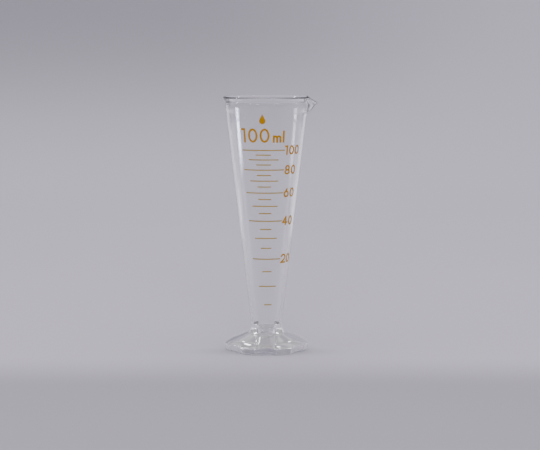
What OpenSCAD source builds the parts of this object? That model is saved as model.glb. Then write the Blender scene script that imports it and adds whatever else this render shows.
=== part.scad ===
// Conical glass measure for 100 ml. A glass cone with a flared rim and a pouring lip stands on a
// pressed, scalloped glass foot. An amber enamel scale is fired on the outside of the cone.
// Millimetres, +Z up. The origin is the centre of the resting face, the lip points along +X,
// and the scale faces -Y.

/* [Cone] */
// Height of the rim above the table
rim_z = 172; // [168:1:178]
// Outer radius of the straight cone, carried up to the rim
cone_top_r = 28.86; // [28.5:0.02:30]
// Outer radius of the cone at the seam with the foot
cone_low_r = 10.6; // [10.2:0.1:11]
// Thickness of the cone's wall at the seam, measured level
wall_low = 1.9; // [1.7:0.05:2.1]
// Thickness of the cone's wall at the rim, measured level
wall_top = 2.05; // [1.8:0.05:2.3]
// How far the rim's bead stands out from the straight cone
rim_flare = 0.35; // [0.2:0.05:0.6]
// How far the throat under the rim is drawn in
throat_draw = 0.85; // [0.4:0.05:1]

/* [Pouring lip] */
// Distance of the lip's tip from the cone's axis
lip_reach = 34.3; // [33:0.1:36]
// How far the tip lies below the rim
lip_drop = 4.2; // [3:0.1:5]
// Height of the lip's tip above its root on the wall
lip_height = 7.8; // [7:0.1:10]
// Radius of the trough at its tip
lip_bend = 9; // [8:0.5:11]

/* [Foot] */
// Radius of the foot over its petals
foot_r = 28.5; // [27:0.5:31]
// Height of the foot's upright edge
foot_edge = 3.8; // [3.4:0.1:4.4]
// Height of the seam between the foot's cup and the cone
seam_z = 17.4; // [17:0.1:18]
// Height of the lowest point of the hollow above the table
hollow_z = 12.4; // [11:0.1:12.6]
// Radius of the hollow under the foot
dish_r = 21; // [18:0.5:23]
// Depth of the hollow under the foot
dish_depth = 1.2; // [0.6:0.1:1.6]
// Number of scallops around the foot
scallop_count = 7; // [6:1:10]
// Depth of each scallop at its middle
scallop_depth = 2; // [1:0.1:2.4]
// Radius of the round cutter that makes each scallop
scallop_r = 17; // [10:0.5:20]

/* [Enamel scale] */
// Thickness of the fired enamel
enamel = 0.1; // [0.06:0.01:0.15]
// Height of a printed graduation line
line_w = 0.75; // [0.4:0.05:0.8]
// Half the angle spanned by each numbered line
long_half = 34.8; // [30:0.2:38]
// Half the angle spanned by the lines between them
medium_half = 24.5; // [20:0.5:28]
// Half the angle spanned by the shortest lines
short_half = 12; // [8:0.5:16]
// Lean of the printed scale against the cone's axis, in degrees
scale_lean = 1.7; // [0:0.1:2]
// Height of the numerals
numeral_h = 6.4; // [5:0.1:7]
// Width of the numerals' pen strokes
numeral_pen = 1.15; // [0.6:0.05:1.2]
// Height of the figures in the capacity legend
legend_h = 9.5; // [8:0.1:10]
// Width of the legend's pen strokes
legend_pen = 1.4; // [0.8:0.05:1.5]

/* [Hidden] */
$fn = 64;

amber = [0.78, 0.5, 0.12];
clear_glass = [0.8, 0.85, 0.86, 0.35];

// The straight cone, outside and inside: radius = base radius + slope * z.
slope = (cone_top_r - cone_low_r) / (rim_z - seam_z);
base_r = cone_low_r - slope * seam_z;
inner_slope = slope - (wall_top - wall_low) / (rim_z - seam_z);
inner_base_r = cone_low_r - wall_low - inner_slope * seam_z;

// The hollow's round floor is half an ellipse, as deep as floor_rise.
floor_rise = 3;
floor_z = hollow_z + floor_rise;
floor_r = inner_r(floor_z);
floor_volume = 2 / 3 * PI * floor_r ^ 2 * floor_rise;

// The underside is part of a large sphere.
dish_sphere = (dish_r ^ 2 + dish_depth ^ 2) / (2 * dish_depth);

// Depth of the narrowest part of the throat below the rim.
throat_depth = 3.4;

// How far cutters run past the faces they cut.
over = 1;

// Marked volumes in millilitres: the largest one, and the steps between lines and numerals.
capacity = 100;
line_step = 5;
numeral_step = 20;

// Gap from a long line to its numeral, then the width of a figure and the gap to the next one.
numeral_gap = 0.4;
numeral_w = 4.5;
numeral_space = 0.7;

// The legend stands legend_rise above the top line. The first figure, the zeros, the m and the l
// are each set by their level distance from the scale's centre line.
legend_rise = 5.1;
legend_w = 0.7 * legend_h;
legend_one_s = -12.6;
legend_zeros_s = [-6.7, 1.15];
legend_m_s = 9.5;
legend_l_s = 14;
letter_m_w = 6;
letter_m_h = 0.52 * legend_h;
letter_l_h = 0.84 * legend_h;

// Drop mark: its clearance over the legend, the radius of its round end, and the height of its
// tip above the middle of that end.
drop_rise = 2.8;
drop_r = 2.1;
drop_tip = 4.6;

// Height at which the leaning centre line crosses the front of the cone.
lean_z = 64;

// Flat glyphs are carried this far outwards before the cone's skin cuts them. The skin runs
// this much past them above and below.
glyph_reach = 40;
glyph_margin = 4;

// Angle between the corners of a figure's oval.
oval_step = 15;

function outer_r(z) = base_r + slope * z;
function inner_r(z) = inner_base_r + inner_slope * z;

// Height at which the hollow holds v millilitres.
function fill_z(v) =
    let (cube = 3 * inner_slope * (v * 1000 - floor_volume) / PI + floor_r ^ 3)
    (cube ^ (1 / 3) - inner_base_r) / inner_slope;

// Azimuth of the scale's leaning centre line, from -Y towards +X.
function lean_angle(z) = asin(-tan(scale_lean) * (z - lean_z) / outer_r(z));

// Azimuth of a point that lies a level distance s along the cone from that centre line.
function along(s, z) = lean_angle(z) + s / outer_r(z) * 180 / PI;

function arc(c, r, from, to, steps) = [
    for (i = [0 : steps])
        let (a = from + (to - from) * i / steps)
        [c.x + r * cos(a), c.y + r * sin(a)]
];

// ---- Glass ----

// Near the rim the outside leaves the straight cone: a faint groove, a swelling, then the throat.
// Each point is [depth below the rim, distance drawn in].
throat = [[15, 0], [10.7, 0.25], [7, 0.05], [5, 0.5], [throat_depth, throat_draw], [2.2, 0.5]];

module outer_shape() {
    bead_r = 1.15;
    rotate_extrude() polygon(concat(
        [[0, seam_z], [cone_low_r, seam_z]],
        [for (t = throat) [outer_r(rim_z - t[0]) - t[1], rim_z - t[0]]],
        arc([outer_r(rim_z) + rim_flare - bead_r, rim_z - bead_r], bead_r, -10, 90, 8),
        [[0, rim_z]]
    ));
}

module hollow() {
    mouth_r = inner_r(rim_z) + rim_flare;
    // The inside is drawn in less than the outside, so the throat's glass is thinner
    inner_draw = 0.7 * throat_draw;
    rotate_extrude() polygon([
        [0, seam_z - over],
        [inner_r(seam_z - over), seam_z - over],
        [inner_r(rim_z - throat[0][0]), rim_z - throat[0][0]],
        [inner_r(rim_z - throat_depth) - inner_draw, rim_z - throat_depth],
        [mouth_r, rim_z],
        [mouth_r, rim_z + over],
        [0, rim_z + over]
    ]);
}

// The pulled lip is an upside-down cone beside the wall; inset moves its surface inwards.
module lip_cone(inset) {
    root_z = rim_z - lip_drop - lip_height;
    flare = (lip_reach - outer_r(root_z)) / lip_height;
    apex_z = rim_z - lip_drop - (lip_bend - inset) / flare;
    height = rim_z + over - apex_z;
    translate([lip_reach - lip_bend, 0, apex_z])
        cylinder(h = height, r1 = 0, r2 = height * flare);
}

// Everything above the rim and above the lip's top edge, which falls from the rim to the tip.
module above_rim() {
    start = outer_r(rim_z) - lip_bend / 4;
    width = 2.5 * lip_reach;
    translate([-width / 2, -width / 2, rim_z])
        cube([width, width, width]);
    translate([start, 0, rim_z])
        rotate([0, atan(lip_drop / (lip_reach - start)), 0])
        translate([-lip_bend, -width / 2, 0])
        cube([width, width, width]);
}

module cone() {
    // Glass left under the trough, measured level
    lip_wall = 1.1 * wall_top;
    color(clear_glass) difference() {
        union() {
            outer_shape();
            lip_cone(0);
        }
        hollow();
        lip_cone(lip_wall);
        above_rim();
    }
}

// Neck ring, concave collar, domed top and upright edge over a hollowed underside.
module foot_blank() {
    ring_r = 0.5;
    neck_r = cone_low_r + 0.15;
    neck_z = seam_z - 2.4;
    collar_r = 5;
    collar_to = 247;
    dome_r = 25;
    dome_from = 55;
    dome_to = 72;
    edge_r = 0.8;
    dish_c = [0, dish_depth - dish_sphere];
    dome_c = [foot_r - dome_r * cos(dome_from), foot_edge - dome_r * sin(dome_from)];
    rotate_extrude() polygon(concat(
        arc(dish_c, dish_sphere, 90, 90 - asin(dish_r / dish_sphere), 8),
        arc([foot_r - edge_r, edge_r], edge_r, -90, 0, 5),
        arc(dome_c, dome_r, dome_from, dome_to, 8),
        arc([neck_r + collar_r, neck_z], collar_r, collar_to, 180, 10),
        arc([cone_low_r, seam_z - ring_r], ring_r, -60, 90, 6),
        [[0, seam_z]]
    ));
}

// The cup forms the round floor of the hollow.
module cup() {
    rotate_extrude() polygon(concat(
        [for (a = [-90 : 7.5 : 0]) [floor_r * cos(a), floor_z + floor_rise * sin(a)]],
        [[inner_r(seam_z), seam_z], [inner_r(seam_z), seam_z + over], [0, seam_z + over]]
    ));
}

module foot() {
    color(clear_glass) difference() {
        foot_blank();
        cup();
        // Scallops, the first one facing the scale's side
        for (i = [0 : scallop_count - 1])
            rotate([0, 0, -90 + i * 360 / scallop_count])
            translate([foot_r - scallop_depth + scallop_r, 0, -over])
            cylinder(h = seam_z, r = scallop_r);
    }
}

// ---- Enamel ----

// One graduation line: a thin band that hugs the cone.
module band(v, half) {
    z = fill_z(v);
    low = z - line_w / 2;
    high = z + line_w / 2;
    rotate([0, 0, -90 + lean_angle(z) - half])
        rotate_extrude(angle = 2 * half) polygon([
            [outer_r(low), low],
            [outer_r(low) + enamel, low],
            [outer_r(high) + enamel, high],
            [outer_r(high), high]
        ]);
}

// A thin skin of enamel over the cone between two heights.
module skin(low, high) {
    rotate_extrude() polygon([
        [outer_r(low), low],
        [outer_r(low) + enamel, low],
        [outer_r(high) + enamel, high],
        [outer_r(high), high]
    ]);
}

// A flat glyph, with its baseline on y = 0 and centred on x = 0, laid on the cone.
module on_cone(angle, z) {
    intersection() {
        rotate([0, 0, angle])
            translate([0, 0, z])
            rotate([90, 0, 0])
            linear_extrude(glyph_reach)
            children();
        skin(z - glyph_margin, z + legend_h + glyph_margin);
    }
}

// An oval with half axes a and b, its middle at height mid.
module oval(a, b, mid) {
    polygon([
        for (t = [0 : oval_step : 360 - oval_step])
            [a * cos(t), mid + b * sin(t)]
    ]);
}

module oval_ring(w, h, pen) {
    difference() {
        oval(w / 2, h / 2, h / 2);
        oval(w / 2 - pen, h / 2 - pen, h / 2);
    }
}

// A straight pen stroke with square ends.
module stroke(from, to, pen) {
    d = to - from;
    translate(from)
        rotate(atan2(d.y, d.x))
        translate([0, -pen / 2])
        square([norm(d), pen]);
}

// A pen stroke along a circular arc.
module bow(c, r, from, to, pen) {
    steps = 12;
    polygon(concat(arc(c, r + pen / 2, from, to, steps), arc(c, r - pen / 2, to, from, steps)));
}

module figure_0(w, h, pen) {
    oval_ring(w, h, pen);
}

module figure_1(w, h, pen) {
    translate([-pen / 2, 0])
        square([pen, h]);
    translate([-pen / 2 - w * 0.3, h - pen])
        square([w * 0.3 + pen / 2, pen]);
}

module figure_2(w, h, pen) {
    bend = w / 2 - pen / 2;
    centre = [0, h - w / 2];
    turn = -38;
    corner = [-w / 2 + pen * 0.7, pen * 0.7];
    bow(centre, bend, turn, 175, pen);
    stroke(corner, centre + bend * [cos(turn), sin(turn)], pen);
    translate([-w / 2, 0])
        square([w, pen]);
}

module figure_4(w, h, pen) {
    stem_x = w * 0.16;
    bar_y = h * 0.24;
    translate([stem_x - pen / 2, 0])
        square([pen, h]);
    translate([-w / 2, bar_y])
        square([w, pen]);
    stroke([-w / 2 + pen * 0.5, bar_y + pen * 0.5], [stem_x, h - pen * 0.5], pen);
}

module figure_6(w, h, pen) {
    oval_ring(w, w * 1.02, pen);
    stroke([-w / 2 + pen * 0.55, w * 0.56], [w * 0.14, h - pen * 0.3], pen);
}

module figure_8(w, h, pen) {
    low_h = h * 0.56;
    oval_ring(w, low_h, pen);
    translate([0, low_h - pen])
        oval_ring(w * 0.84, h - low_h + pen, pen);
}

module figure(n, w, h, pen) {
    if (n == 0) figure_0(w, h, pen);
    if (n == 1) figure_1(w, h, pen);
    if (n == 2) figure_2(w, h, pen);
    if (n == 4) figure_4(w, h, pen);
    if (n == 6) figure_6(w, h, pen);
    if (n == 8) figure_8(w, h, pen);
}

// The digits of a whole number, first digit first.
function digits(v) = v < 10 ? [v] : concat(digits(floor(v / 10)), [v % 10]);

// Level distance from a numeral's left edge to the middle of digit i; a 1 takes less room.
function pitch_of(d) = d == 1 ? numeral_w * 0.42 + numeral_space * 0.8 : numeral_w + numeral_space;
function pen_x(ds, i) =
    i == 0 ? (ds[0] == 1 ? numeral_w * 0.3 : numeral_w / 2)
    : pen_x(ds, i - 1) + pitch_of(ds[i - 1]) / 2 + pitch_of(ds[i]) / 2;

// A numeral stands at the right end of its own line, its middle level with the line.
module numeral(v) {
    z = fill_z(v);
    start = long_half * PI / 180 * outer_r(z) + numeral_gap;
    ds = digits(v);
    color(amber) for (i = [0 : len(ds) - 1])
        on_cone(along(start + pen_x(ds, i), z), z - numeral_h / 2)
            figure(ds[i], numeral_w, numeral_h, numeral_pen);
}

module long_lines() {
    color(amber) for (v = [numeral_step : numeral_step : capacity])
        band(v, long_half);
}

module medium_lines() {
    color(amber) for (v = [numeral_step / 2 : numeral_step : capacity])
        band(v, medium_half);
}

module short_lines() {
    color(amber) for (v = [line_step : 2 * line_step : capacity])
        band(v, short_half);
}

module numeral_20() { numeral(20); }
module numeral_40() { numeral(40); }
module numeral_60() { numeral(60); }
module numeral_80() { numeral(80); }
module numeral_100() { numeral(100); }

// The capacity legend stands above the top line: the figures, then the unit.
legend_z = fill_z(capacity) + legend_rise;

module legend_figures() {
    color(amber) {
        on_cone(along(legend_one_s, legend_z), legend_z)
            figure_1(legend_w, legend_h, legend_pen);
        for (s = legend_zeros_s)
            on_cone(along(s, legend_z), legend_z)
                figure_0(legend_w, legend_h, legend_pen);
    }
}

module letter_m(w, h, pen) {
    bend = (w - pen) / 4;
    for (x = [-w / 2 + pen / 2, 0, w / 2 - pen / 2])
        translate([x - pen / 2, 0])
            square([pen, h - bend]);
    translate([-w / 2, 0])
        square([pen, h]);
    for (x = [-bend, bend])
        bow([x, h - bend - pen / 2], bend, 0, 180, pen);
}

module legend_unit() {
    color(amber) {
        on_cone(along(legend_m_s, legend_z), legend_z)
            letter_m(letter_m_w, letter_m_h, legend_pen);
        on_cone(along(legend_l_s, legend_z), legend_z)
            translate([-legend_pen / 2, 0])
            square([legend_pen, letter_l_h]);
    }
}

// A plain drop printed above the legend.
module drop_mark() {
    drop_z = legend_z + legend_h + drop_rise;
    tangent = acos(drop_r / drop_tip);
    color(amber) on_cone(lean_angle(drop_z), drop_z)
        translate([0, drop_r])
        polygon(concat(
            [[0, drop_tip]],
            arc([0, 0], drop_r, 90 + tangent, 450 - tangent, 20)
        ));
}

cone();
foot();
long_lines();
medium_lines();
short_lines();
numeral_20();
numeral_40();
numeral_60();
numeral_80();
numeral_100();
legend_figures();
legend_unit();
drop_mark();
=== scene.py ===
import math

import bpy
import numpy as np
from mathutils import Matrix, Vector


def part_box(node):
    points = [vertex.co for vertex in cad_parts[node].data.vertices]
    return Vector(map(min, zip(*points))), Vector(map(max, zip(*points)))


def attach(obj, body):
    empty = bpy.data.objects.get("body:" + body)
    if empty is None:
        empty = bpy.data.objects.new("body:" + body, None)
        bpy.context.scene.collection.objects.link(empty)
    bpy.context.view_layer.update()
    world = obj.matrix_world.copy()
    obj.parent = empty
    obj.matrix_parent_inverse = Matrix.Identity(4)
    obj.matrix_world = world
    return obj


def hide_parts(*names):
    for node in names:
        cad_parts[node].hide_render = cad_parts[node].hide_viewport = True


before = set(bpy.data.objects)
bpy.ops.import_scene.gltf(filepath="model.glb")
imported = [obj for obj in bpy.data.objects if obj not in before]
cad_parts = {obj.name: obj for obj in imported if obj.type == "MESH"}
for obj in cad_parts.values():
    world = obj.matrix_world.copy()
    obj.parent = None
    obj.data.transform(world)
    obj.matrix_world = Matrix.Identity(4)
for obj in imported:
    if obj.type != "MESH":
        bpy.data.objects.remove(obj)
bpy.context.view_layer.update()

# Looks of a conical glass measure: fire-polished cone, pressed foot, fired amber enamel scale.
# Metres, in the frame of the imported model. The lip points along +X and the scale faces -Y.

MM = 0.001

# ---- Sizes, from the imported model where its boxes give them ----

cone_low, cone_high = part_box("cone")
foot_low, foot_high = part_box("foot")

RIM_Z = cone_high.z
SEAM_Z = cone_low.z
RIM_R = -cone_low.x            # over the rim's bead
LIP_REACH = cone_high.x        # tip of the pouring lip
FOOT_R = foot_high.x

SEAM_R = 10.6 * MM             # outside of the cone at the seam
CONE_TOP_R = 28.86 * MM        # straight cone carried up to the rim
WALL_LOW = 1.9 * MM
WALL_TOP = 2.05 * MM
HOLLOW_Z = 12.4 * MM           # lowest point of the hollow
FLOOR_RISE = 3 * MM            # depth of the hollow's rounded floor
FLOOR_START = -88              # degrees, just short of the floor's middle
BEAD_R = 0.75 * MM             # half the thickness of the rim's bead
BEAD_START = -33               # degrees around the bead where the outside meets it
BEAD_END = 147                 # and where it meets the inside

LIP_DROP = 3.7 * MM            # fall of the lip's tip below the rim
LIP_EDGE = 0.98                # share of the rim's radius where its top edge starts to fall
LIP_ROOT = 13 * MM             # where the lip's pull begins, below the rim
LIP_RIDGE = math.radians(3)    # rounding of the lip's fold
LIP_SPREAD_LOW = math.radians(30)    # half width of the lip's funnel at its root
LIP_SPREAD_TOP = math.radians(54)    # and at the rim
LIP_SWEEP = 4                  # how sharply the flanks draw in to the fold

# Both faces leave the straight cone together below the rim: a faint groove, a swelling, then
# the throat. Each point is its depth below the rim and how far it is drawn in, in mm.
WAVES = [(22, 0), (15, 0), (10.7, 0.2), (7, 0.05), (5, 0.45), (3.6, 0.8)]
OUTER_FLARE = (2.3, 0.24)      # the outside's last point, under the bead
INNER_FLARE = [(1, -0.65), (2.2, 0.05)]
THROAT_TOP = 2 * MM            # above this depth the lip keeps the flare's own shape

SEAM_RING_R = 0.3 * MM         # rounded step where the foot meets the cone
SEAM_RING_IN = 0.1 * MM        # how far its centre lies inside the cone's surface
SEAM_RING_TURN = (70, -50)     # degrees it turns through
NECK_OUT = 0.15 * MM           # how far the neck stands proud of the cone
COLLAR_R = 5 * MM              # hollow curve from the neck into the dome
COLLAR_DROP = 2.4 * MM         # where it starts, below the seam
COLLAR_END = 247               # degrees around it where it leaves for the dome
DOME_R = 25 * MM
DOME_EDGE = math.radians(55)   # place on the dome's circle over the foot's edge
DOME_CROWN = math.radians(72)  # and where the slope from the collar meets it
PETAL_DEPTH = 0.5 * MM         # fall of the foot's top towards each scallop
SHOULDER_R = 0.7 * MM
SHOULDER_START = 75            # degrees
HEEL_R = 0.8 * MM
HEEL_START = -12               # degrees
FOOT_EDGE = 3.8 * MM           # height of the dome's circle over the foot's edge
DISH_R = 21 * MM               # shallow hollow underneath
DISH_DEPTH = 1.2 * MM
POLE_R = 0.4 * MM              # last ring before the mesh closes on the axis
SCALLOPS = 7
SCALLOP_DEPTH = 2 * MM
SCALLOP_CUT_R = 17 * MM
CUSP_SOFT = 0.35 * MM          # rounding of the cusps between scallops

TURNS = 392                    # segments around, a multiple of the scallops
FRONT = -math.pi / 2           # azimuth of the scale
SHARP = math.radians(40)       # edges sharper than this stay sharp in the shading

azimuths = np.arange(TURNS) * 2 * math.pi / TURNS


def outer_r(z):
    return SEAM_R + (CONE_TOP_R - SEAM_R) * (z - SEAM_Z) / (RIM_Z - SEAM_Z)


def inner_r(z):
    wall = WALL_LOW + (WALL_TOP - WALL_LOW) * (z - SEAM_Z) / (RIM_Z - SEAM_Z)
    return outer_r(z) - wall


# ---- Curves and lathed meshes ----

def arc(centre, radius, start, end, steps):
    """Points along a circle, angles in degrees from +r towards +z."""
    angles = np.radians(np.linspace(start, end, steps + 1))
    return [(centre[0] + radius * math.cos(a), centre[1] + radius * math.sin(a)) for a in angles]


def flowing(points, steps):
    """A smooth curve through the points, steps to each span."""
    p = np.array([points[0]] + list(points) + [points[-1]], float)
    out = []
    for i in range(1, len(p) - 2):
        for t in np.arange(steps) / steps:
            out.append(0.5 * (
                2 * p[i] + (p[i + 1] - p[i - 1]) * t
                + (2 * p[i - 1] - 5 * p[i] + 4 * p[i + 1] - p[i + 2]) * t ** 2
                + (3 * p[i] - p[i - 1] - 3 * p[i + 1] + p[i + 2]) * t ** 3))
    out.append(p[-2])
    return [tuple(q) for q in out]


def placed(name, data):
    """A new object that holds the data, in the scene."""
    thing = bpy.data.objects.new(name, data)
    bpy.context.scene.collection.objects.link(thing)
    return thing


def lathed(name, radii, heights, closed, seam_rows):
    """Mesh from rings: radii and heights are [row, turn] arrays.

    closed joins the last row to the first. Otherwise both end rows shrink to points on the axis.
    The faces after each row in seam_rows take the second material.
    """
    rows = len(radii)
    verts = np.stack([radii * np.cos(azimuths), radii * np.sin(azimuths), heights], axis=-1)
    verts = verts.reshape(-1, 3).tolist()
    faces, slots = [], []

    def ring(row, k):
        return (row % rows) * TURNS + k % TURNS

    for row in range(rows if closed else rows - 1):
        for k in range(TURNS):
            faces.append((ring(row, k), ring(row, k + 1), ring(row + 1, k + 1), ring(row + 1, k)))
            slots.append(1 if row in seam_rows else 0)
    if not closed:
        for row in (0, rows - 1):
            pole = len(verts)
            verts.append((0, 0, float(heights[row, 0])))
            for k in range(TURNS):
                pair = (ring(row, k), ring(row, k + 1))
                faces.append((pair[1], pair[0], pole) if row == 0 else (pair[0], pair[1], pole))
                slots.append(0)
    mesh = bpy.data.meshes.new(name)
    mesh.from_pydata(verts, [], faces)
    mesh.polygons.foreach_set("material_index", slots)
    mesh.shade_smooth()
    mesh.set_sharp_from_angle(angle=SHARP)
    return placed(name, mesh)


# ---- Nodes ----

def feed(node, socket, source):
    node.id_data.links.new(source, node.inputs[socket])


def adder(tree):
    """A helper that adds a node to the tree, sets it up and links its inputs."""
    def add(kind, sources=(), **values):
        node = tree.nodes.new(kind)
        for key, value in values.items():
            setattr(node, key, value)
        for socket, source in sources:
            feed(node, socket, source)
        return node

    return add


def node_material(name):
    """A new material, its shader, and a helper that adds nodes."""
    mat = bpy.data.materials.new(name)
    mat.use_nodes = True
    return mat, mat.node_tree.nodes["Principled BSDF"], adder(mat.node_tree)


def noise(add, place, scale, detail):
    node = add("ShaderNodeTexNoise", [("Vector", place)])
    node.inputs["Scale"].default_value = scale
    node.inputs["Detail"].default_value = detail
    return node.outputs["Fac"]


def mapped(add, source, start, end, low, high, kind="LINEAR"):
    """Goes from low to high while the source goes from start to end."""
    node = add("ShaderNodeMapRange", [("Value", source)], interpolation_type=kind)
    node.inputs["From Min"].default_value = start
    node.inputs["From Max"].default_value = end
    node.inputs["To Min"].default_value = low
    node.inputs["To Max"].default_value = high
    return node.outputs["Result"]


def eased(add, source, start, end, low, high):
    return mapped(add, source, start, end, low, high, "SMOOTHSTEP")


def product(add, first, second):
    return add("ShaderNodeMath", [(0, first), (1, second)], operation="MULTIPLY").outputs[0]


def length(add, vector):
    return add("ShaderNodeVectorMath", [(0, vector)], operation="LENGTH").outputs["Value"]


def blend_of(add, source, low, high):
    """Colour between low and high over the middle range of a noise."""
    ramp = add("ShaderNodeValToRGB", [("Fac", source)])
    for element, position, colour in zip(ramp.color_ramp.elements, (0.3, 0.7), (low, high)):
        element.position = position
        element.color = (*colour, 1)
    return ramp.outputs["Color"]


def bumped(add, height, strength, distance):
    node = add("ShaderNodeBump", [("Height", height)])
    node.inputs["Strength"].default_value = strength
    node.inputs["Distance"].default_value = distance
    return node.outputs["Normal"]


# ---- Materials ----

GLASS_IOR = 1.52
GLASS_TINT = ((0.988, 0.988, 0.992), (0.996, 0.996, 0.998))
GLASS_ROUGH = (0.0, 0.02)
GLASS_BUMP = 0.35
GLASS_DRIFT = 18               # noise scales, per metre
GLASS_HAZE = 220
CONE_RIPPLE = (40, 0.05 * MM)  # noise scale and depth
FOOT_RIPPLE = (110, 0.3 * MM)
ENAMEL_ROUGH = (0.5, 0.7)
ENAMEL_SHEEN = 0.1             # specular level of the satin enamel
ENAMEL_BUMP = 0.3
ENAMEL_CLOUD = 700
ENAMEL_GRAIN = 4000
ENAMEL_GRAIN_DEPTH = 0.02 * MM
FIGURES_AMBER = ((0.56, 0.28, 0.002), (0.66, 0.33, 0.006))
LINES_AMBER = ((0.48, 0.32, 0.02), (0.56, 0.37, 0.03))
PAPER = ((0.74, 0.715, 0.80), (0.75, 0.725, 0.81))
PAPER_MOTTLE = 3

# Painted light and shade on the paper: start and end of the change, in metres, and the shares there
PAINTED_SHADE_UP = (0, 0.26, 0, 1)
PAINTED_LIGHT_TOP = (0.33, 0.6, 1, 0)
PAINTED_SHADE_LEFT = (-0.2, 0.5, 0.4, 0.06)
PAINTED_SHADE_NEAR = (-0.12, -0.03, 0.7, 1)
PAINTED_LIGHT_FAR = (0, 1.2, 1, 1.06)
PAINTED_EDGE_SHADE = 0.96               # painted shade right at the foot's edge
# Painted light under the foot, then painted shade around its edge
PAINTED_LIGHT_UNDER_FOOT = (20 * MM, 27.5 * MM, 1.25, PAINTED_EDGE_SHADE)
PAINTED_SHADE_AROUND_FOOT = (28.5 * MM, 36 * MM, 1, 1 / PAINTED_EDGE_SHADE)
# Painted shadow of the foot, drawn out to both sides
PAINTED_SIDE_SHADOW = (8 * MM, 30 * MM, 0.82, 1)
SIDE_SHADOW_OVAL = (0.5, 1.6, 0)      # distances from the painted shadow's middle count for this much along x and y
SIDE_SHADOW_FORWARD = 13 * MM         # the painted shadow's middle lies this far in front of the axis


def glass_material(name, ripple_scale, ripple_depth):
    """Clear soda glass with faint tint drift and the slight ripple of worked glass."""
    mat, shader, add = node_material(name)
    shader.inputs["Transmission Weight"].default_value = 1
    shader.inputs["IOR"].default_value = GLASS_IOR
    place = add("ShaderNodeTexCoord").outputs["Object"]
    drift = noise(add, place, GLASS_DRIFT, 2)
    haze = noise(add, place, GLASS_HAZE, 3)
    ripple = noise(add, place, ripple_scale, 1)
    feed(shader, "Base Color", blend_of(add, drift, *GLASS_TINT))
    feed(shader, "Roughness", mapped(add, haze, 0, 1, *GLASS_ROUGH))
    feed(shader, "Normal", bumped(add, ripple, GLASS_BUMP, ripple_depth))
    return mat


def seam_material():
    """Glass fused to glass shows nothing: the faces where cone and foot meet are see-through."""
    mat, shader = node_material("fused_seam")[:2]
    shader.inputs["Alpha"].default_value = 0
    shader.inputs["Roughness"].default_value = 1
    return mat


def enamel_material(name, low, high):
    """Amber enamel, screen printed and fired: satin, a little uneven in colour and surface."""
    mat, shader, add = node_material(name)
    shader.inputs["Specular IOR Level"].default_value = ENAMEL_SHEEN
    place = add("ShaderNodeTexCoord").outputs["Object"]
    cloud = noise(add, place, ENAMEL_CLOUD, 4)
    grain = noise(add, place, ENAMEL_GRAIN, 2)
    feed(shader, "Base Color", blend_of(add, cloud, low, high))
    feed(shader, "Roughness", mapped(add, grain, 0, 1, *ENAMEL_ROUGH))
    feed(shader, "Normal", bumped(add, grain, ENAMEL_BUMP, ENAMEL_GRAIN_DEPTH))
    return mat


def paper_material():
    """Pale sweep paper, with uneven light and the foot's shade and shadow painted into its colour.
    """
    mat, shader, add = node_material("studio_sweep")
    shader.inputs["Roughness"].default_value = 0.9
    shader.inputs["Specular IOR Level"].default_value = 0.1
    place = add("ShaderNodeTexCoord").outputs["Object"]
    axes = add("ShaderNodeSeparateXYZ", [("Vector", place)]).outputs

    # Painted shade: the backdrop darkens as it rises, most on the left, and painted light lifts it
    # again towards its top
    rising = product(add, eased(add, axes["Z"], *PAINTED_SHADE_UP), eased(add, axes["Z"], *PAINTED_LIGHT_TOP))
    falling = product(add, rising, eased(add, axes["X"], *PAINTED_SHADE_LEFT))
    back = add("ShaderNodeMath", [(1, falling)], operation="SUBTRACT")
    back.inputs[0].default_value = 1

    # Painted shade makes the paper darker in front of the object, and painted light makes it
    # slightly lighter far behind it
    near = product(add, back.outputs[0], eased(add, axes["Y"], *PAINTED_SHADE_NEAR))
    tone = product(add, near, eased(add, axes["Y"], *PAINTED_LIGHT_FAR))

    # Painted light on the paper under the foot stands in for light the glass gathers, and painted
    # shade darkens the paper around its edge
    away = length(add, place)
    painted_foot_light = product(add, eased(add, away, *PAINTED_LIGHT_UNDER_FOOT), eased(add, away, *PAINTED_SHADE_AROUND_FOOT))

    # Painted shadow: the foot's shadow from the side lights, drawn out to both sides, a little in
    # front of it
    side_shadow_oval = add("ShaderNodeMapping", [("Vector", place)])
    side_shadow_oval.inputs["Scale"].default_value = SIDE_SHADOW_OVAL
    side_shadow_oval.inputs["Location"].default_value = (0, SIDE_SHADOW_OVAL[1] * SIDE_SHADOW_FORWARD, 0)
    painted_side_shadow = eased(add, length(add, side_shadow_oval.outputs["Vector"]), *PAINTED_SIDE_SHADOW)
    lit = product(add, tone, product(add, painted_foot_light, painted_side_shadow))

    mottle = blend_of(add, noise(add, place, PAPER_MOTTLE, 2), *PAPER)
    shade = add("ShaderNodeVectorMath", [(0, mottle), ("Scale", lit)], operation="SCALE")
    feed(shader, "Base Color", shade.outputs["Vector"])
    return mat


# ---- Cone ----

def cone_profile():
    """Outline of the wall as (radius, height): up the outside, over the bead, down the inside."""
    def off(face, wave):
        z = RIM_Z - wave[0] * MM
        return (face(z) - wave[1] * MM, z)

    straight = np.linspace(SEAM_Z, RIM_Z - WAVES[0][0] * MM, 24)
    rising = [off(outer_r, wave) for wave in WAVES + [OUTER_FLARE]]
    falling = [off(inner_r, wave) for wave in INNER_FLARE + WAVES[::-1]]
    outside = [(outer_r(z), z) for z in straight] + flowing(rising, 5)[1:]
    bead = arc((RIM_R - BEAD_R, RIM_Z - BEAD_R), BEAD_R, BEAD_START, BEAD_END, 18)
    inside = flowing(falling, 5) + [(inner_r(z), z) for z in straight[::-1][1:]]
    return np.array(outside + bead + inside)


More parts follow.
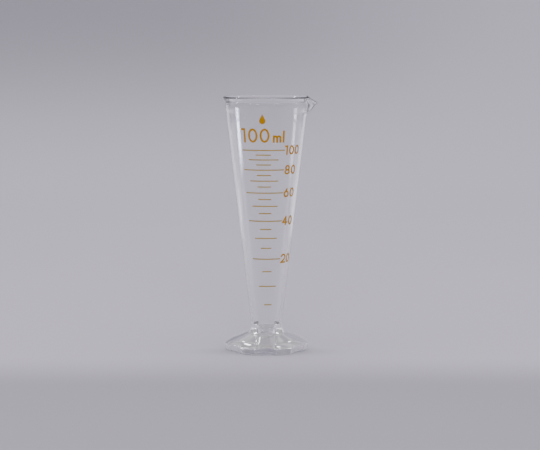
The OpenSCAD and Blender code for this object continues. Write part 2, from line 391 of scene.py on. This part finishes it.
def lip_pull(theta, z):
    """Outward pull of the pouring lip at azimuth theta and height z, and how far out it has got.

    The flanks sweep in from a wide funnel to a narrow ridge at the tip. The share is 0 up to the
    circle where the top edge starts to fall, and 1 at the tip.
    """
    up = np.clip((z - (RIM_Z - LIP_ROOT)) / (LIP_ROOT - BEAD_R), 0, 1)
    reach = (LIP_REACH - RIM_R) * up
    base = outer_r(z)
    spread = LIP_SPREAD_LOW + (LIP_SPREAD_TOP - LIP_SPREAD_LOW) * up
    turn = np.sqrt(theta ** 2 + LIP_RIDGE ** 2)
    pulled = reach * (np.clip(1 - turn / spread, 0, 1) / (1 - LIP_RIDGE / spread)) ** LIP_SWEEP
    start = LIP_EDGE * base
    beyond = (base + pulled) * np.cos(theta) - start
    return pulled, up * np.clip(beyond / (base + reach - start), 0, 1)


def make_cone(glass, seam):
    profile = cone_profile()
    theta = (azimuths + math.pi) % (2 * math.pi) - math.pi
    r, z = profile[:, :1], profile[:, 1:]
    pulled, share = lip_pull(theta[None, :], z)
    # The throat is drawn in everywhere but on the lip
    inner = np.arange(len(profile))[:, None] > np.argmax(profile[:, 1])
    plain = np.where(inner, inner_r(z), outer_r(z))
    straightened = np.where(z < RIM_Z - THROAT_TOP, np.clip(2 * share, 0, 1) * (plain - r), 0)
    radii = r + straightened + pulled
    piece = lathed("glass_cone", radii, z - LIP_DROP * share, True, {len(profile) - 1})
    piece.data.materials.append(glass)
    piece.data.materials.append(seam)
    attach(piece, "root")
    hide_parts("cone")


# ---- Foot ----

def scalloped_edge():
    """Radius of the foot's edge at each azimuth: petals with round cuts between, cusps softened."""
    step = 2 * math.pi / SCALLOPS
    off = (azimuths - FRONT + step / 2) % step - step / 2
    centre = FOOT_R - SCALLOP_DEPTH + SCALLOP_CUT_R
    side = centre * np.sin(off)
    half = np.sqrt(np.maximum(SCALLOP_CUT_R ** 2 - side ** 2, 0))
    cut = np.where(np.abs(side) < SCALLOP_CUT_R, centre * np.cos(off) - half, centre)
    gap = cut - FOOT_R
    return FOOT_R + 0.5 * (gap - np.sqrt(gap ** 2 + CUSP_SOFT ** 2))


def foot_rows():
    """Rings of the foot as [row, turn] arrays, from the middle of the cup out to the underside."""
    edge = scalloped_edge()
    one = np.ones(TURNS)
    petals = 0.5 + 0.5 * np.cos(SCALLOPS * (azimuths - FRONT))
    rows = []

    def ring(r, z):
        rows.append((r * one, z * one))

    # Cup that closes the hollow, up to the seam
    floor_z = HOLLOW_Z + FLOOR_RISE
    floor_r = inner_r(floor_z)
    for a in np.radians(np.linspace(FLOOR_START, 0, 20)):
        ring(floor_r * math.cos(a), floor_z + FLOOR_RISE * math.sin(a))
    for z in np.linspace(floor_z, SEAM_Z, 4)[1:]:
        ring(inner_r(z), z)
    seam_row = len(rows) - 1

    # Seam ring, neck and collar
    step_c = (SEAM_R - SEAM_RING_IN, SEAM_Z - SEAM_RING_R)
    for r, z in arc(step_c, SEAM_RING_R, *SEAM_RING_TURN, 10):
        ring(r, z)
    collar_c = (SEAM_R + NECK_OUT + COLLAR_R, SEAM_Z - COLLAR_DROP)
    collar = arc(collar_c, COLLAR_R, 180, COLLAR_END, 14)
    for r, z in collar:
        ring(r, z)

    # Domed top, which reaches the edge wherever the scallops put it
    dome_c = (FOOT_R - DOME_R * math.cos(DOME_EDGE), FOOT_EDGE - DOME_R * math.sin(DOME_EDGE))

    def dome_z(r):
        return dome_c[1] + np.sqrt(DOME_R ** 2 - (r - dome_c[0]) ** 2)

    start_r, start_z = collar[-1]
    crown = dome_c[0] + DOME_R * math.cos(DOME_CROWN)
    for t in np.linspace(0, 1, 8)[1:]:
        ring(start_r + (crown - start_r) * t, start_z + (dome_z(crown) - start_z) * t)
    shoulder = edge - SHOULDER_R
    for t in np.linspace(0, 1, 14)[1:]:
        r = crown + (shoulder - crown) * t
        ring(r, dome_z(r) - PETAL_DEPTH * t ** 2 * petals)

    # Rounded shoulder, upright edge and rounded heel
    side_z = rows[-1][1] - SHOULDER_R
    for a in np.radians(np.linspace(SHOULDER_START, 0, 7)):
        ring(shoulder + SHOULDER_R * math.cos(a), side_z + SHOULDER_R * math.sin(a))
    for t in np.linspace(0, 1, 5)[1:]:
        ring(edge, side_z + (HEEL_R - side_z) * t)
    for a in np.radians(np.linspace(HEEL_START, -90, 8)):
        ring(edge - HEEL_R + HEEL_R * math.cos(a), HEEL_R * (1 + math.sin(a)))

    # Resting ring and the dish inside it
    for t in np.linspace(0, 1, 5)[1:]:
        ring(edge - HEEL_R + (DISH_R - edge + HEEL_R) * t, 0)
    sphere = (DISH_R ** 2 + DISH_DEPTH ** 2) / (2 * DISH_DEPTH)
    for r in np.linspace(DISH_R, POLE_R, 24)[1:]:
        ring(r, DISH_DEPTH - sphere + math.sqrt(sphere ** 2 - r ** 2))
    radii = np.array([row[0] for row in rows])
    heights = np.array([row[1] for row in rows])
    return radii, heights, seam_row


def make_foot(glass, seam):
    radii, heights, seam_row = foot_rows()
    piece = lathed("glass_foot", radii, heights, False, {seam_row})
    piece.data.materials.append(glass)
    piece.data.materials.append(seam)
    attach(piece, "root")
    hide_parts("foot")
    # The shadow painted on the paper stands in for the foot's shadow
    piece.visible_shadow = False


# ---- Enamel ----

def finish_enamel():
    """The thin lines are fired a little yellower than the figures."""
    figures = enamel_material("amber_enamel_figures", *FIGURES_AMBER)
    lines = enamel_material("amber_enamel_lines", *LINES_AMBER)
    for node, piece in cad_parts.items():
        if node in ("cone", "foot"):
            continue
        piece.data.materials.clear()
        piece.data.materials.append(lines if node.endswith("_lines") else figures)


# ---- Stage, light and camera ----

def make_stage():
    """Pale floor that sweeps up into a backdrop."""
    wide, near, far, bend, tall = 2.2, -1.6, 0.9, 0.5, 0.8
    drop = 0.3 * MM
    path = [(near, -drop), (far, -drop)]
    for a in np.radians(np.linspace(-90, 0, 17))[1:]:
        path.append((far + bend * math.cos(a), bend * (1 + math.sin(a)) - drop))
    path.append((far + bend, tall))
    verts, faces = [], []
    for y, z in path:
        verts += [(-wide, y, z), (wide, y, z)]
    for i in range(len(path) - 1):
        faces.append((2 * i, 2 * i + 1, 2 * i + 3, 2 * i + 2))
    mesh = bpy.data.meshes.new("studio_floor")
    mesh.from_pydata(verts, [], faces)
    mesh.shade_smooth()
    mesh.materials.append(paper_material())
    floor = placed("studio_floor", mesh)


COOL = (0.93, 0.92, 1)
COOLER = (0.74, 0.8, 1)

# Each softbox: name, azimuth in degrees, distance, height, tilt in degrees, size, radiance.
# Tilt 0 faces down, 90 stands and 180 lies face up.
FLAT = (1 * MM, 180)           # height and tilt of a softbox that lies on the floor

# Pools of light on the floor make the long streaks down the cone's sides
LEFT_POOLS = [
    ("left_near_pool", 180, 0.3, *FLAT, (0.18, 0.4), 2.4),
    ("left_pool", 180, 0.64, *FLAT, (0.22, 0.38), 54),
    ("left_far_pool", 180, 1.1, *FLAT, (0.36, 0.84), 54),
]
OTHER_POOLS = [
    ("left_side_pool", 150, 0.35, *FLAT, (0.3, 0.5), 2.2),
    ("right_near_pool", 0, 0.3, *FLAT, (0.18, 0.4), 1.7),
    ("right_pool", 0, 0.6, *FLAT, (0.22, 0.38), 13),
    ("right_far_pool", 0, 1.1, *FLAT, (0.36, 0.84), 22),
    ("right_side_pool", 30, 0.35, *FLAT, (0.3, 0.5), 1.8),
]
# High strips touch the rim and the neck
HIGH_STRIPS = [
    ("left_high_strip", 165, 0.9, 1.0, 47, (0.5, 0.06), 20),
    ("right_high_strip", 12, 0.9, 1.0, 47, (0.5, 0.06), 14),
]
# Cards draw the edge lines, front strips touch the rim, and small strips and lamps make the
# highlights in the foot
CARDS = [
    ("left_edge_card", 123, 0.42, 0.09, 90, (0.12, 0.18), 0.45),
    ("right_edge_card", 57, 0.42, 0.09, 90, (0.12, 0.18), 0.6),
    ("left_side_card", 153, 0.42, 0.045, 90, (0.3, 0.09), 0.6),
    ("right_side_card", 27, 0.42, 0.045, 90, (0.3, 0.09), 0.6),
    ("left_front_strip", -128, 1.2, 0.7, 60, (0.7, 0.06), 12),
    ("right_front_strip", -55, 1.2, 0.7, 60, (0.5, 0.06), 8),
    ("left_top_strip", 114, 0.78, 0.91, 41, (0.08, 0.2), 4),
    ("right_top_strip", 64, 0.49, 1.1, 24, (0.08, 0.08), 4),
    ("left_back_lamp", 106, 0.96, 0.72, 53, (0.07, 0.07), 4),
    ("right_back_lamp", 74.5, 0.96, 0.72, 53, (0.07, 0.07), 4),
]
# Fills light the paper and the enamel, and don't show in the glass
FILLS = [
    ("overhead", 90, 0.3, 1.6, 0, (2.4, 2.4), 0.8),
    ("front_fill", -90, 1.2, 0.6, 65, (0.8, 0.5), 3.3),
]


def soft_box(name, azimuth, distance, height, tilt, size, radiance):
    data = bpy.data.lights.new(name, "AREA")
    data.shape = "RECTANGLE"
    data.size, data.size_y = size
    data.energy = radiance * math.pi * size[0] * size[1]
    box = placed(name, data)
    turn = math.radians(azimuth)
    box.location = (distance * math.cos(turn), distance * math.sin(turn), height)
    box.rotation_euler = (math.radians(tilt), 0, turn + math.pi / 2)
    box.visible_camera = False
    return box


def fade(box):
    """Makes a softbox dark at its foot and its sides, and brightest in its upper middle."""
    data = box.data
    data.use_nodes = True
    add = adder(data.node_tree)
    spot = add("ShaderNodeNewGeometry").outputs["Parametric"]
    across = add("ShaderNodeSeparateXYZ", [(0, spot)]).outputs
    strength = eased(add, across["X"], 0, 0.5, 0, 1)
    for axis, start, end in (("X", 1, 0.5), ("Y", 0, 0.6), ("Y", 1, 0.8)):
        strength = product(add, strength, eased(add, across[axis], start, end, 0, 1))
    feed(data.node_tree.nodes["Emission"], "Strength", strength)


def make_lights():
    """Fills and the room light the stage and the enamel. The others light neither.

    Pools and high strips show only as reflections, cards also through the glass.
    """
    tinted = []
    for row in LEFT_POOLS + OTHER_POOLS:
        tinted.append(soft_box(*row))
        fade(tinted[-1])
    tinted += [soft_box(*row) for row in HIGH_STRIPS]
    for box in tinted:
        box.visible_transmission = False
    tinted += [soft_box(*row) for row in CARDS]
    for i, box in enumerate(tinted):
        box.data.color = COOLER if i < len(LEFT_POOLS) else COOL
        box.visible_diffuse = False
    for row in FILLS:
        box = soft_box(*row)
        box.visible_glossy = False
        box.visible_transmission = False


# The room: start and end along the direction's axis or the noise, and the brightness there
ROOM_DEPTH = (-0.9, -0.2, 0.2, 0.5)
CEILING = (0.1, 0.4, 0, 1)
CEILING_PATCHES = (0.35, 0.65, 0.35, 0.8)
PATCH_SCALE = 4
ROOM_COLOUR = (0.95, 0.91, 1, 1)

CAMERA_AT = (2.4 * MM, -1014.5 * MM, 206.5 * MM)
CAMERA_DOWN = 6.85             # degrees below level
CAMERA_LENS = 100              # these two in mm
CAMERA_SENSOR = 36


def make_room():
    """Dim room, darker in front than behind, with an unevenly bright ceiling."""
    world = bpy.data.worlds.new("room")
    world.use_nodes = True
    add = adder(world.node_tree)
    way = add("ShaderNodeTexCoord").outputs["Generated"]
    axes = add("ShaderNodeSeparateXYZ", [(0, way)]).outputs
    depth = eased(add, axes["Y"], *ROOM_DEPTH)
    uneven = mapped(add, noise(add, way, PATCH_SCALE, 2), *CEILING_PATCHES)
    ceiling = product(add, eased(add, axes["Z"], *CEILING), uneven)
    brighter = add("ShaderNodeMath", [(0, depth), (1, ceiling)], operation="MAXIMUM")
    background = world.node_tree.nodes["Background"]
    background.inputs["Color"].default_value = ROOM_COLOUR
    feed(background, "Strength", brighter.outputs[0])
    bpy.context.scene.world = world


def make_camera():
    """Long lens, a little above the rim and tilted down."""
    data = bpy.data.cameras.new("camera")
    data.lens = CAMERA_LENS
    data.sensor_width = CAMERA_SENSOR
    camera = placed("camera", data)
    camera.location = CAMERA_AT
    camera.rotation_euler = (math.radians(90 - CAMERA_DOWN), 0, 0)
    bpy.context.scene.camera = camera


seam = seam_material()
make_cone(glass_material("cone_glass", *CONE_RIPPLE), seam)
make_foot(glass_material("foot_glass", *FOOT_RIPPLE), seam)
finish_enamel()
make_stage()
make_lights()
make_room()
make_camera()
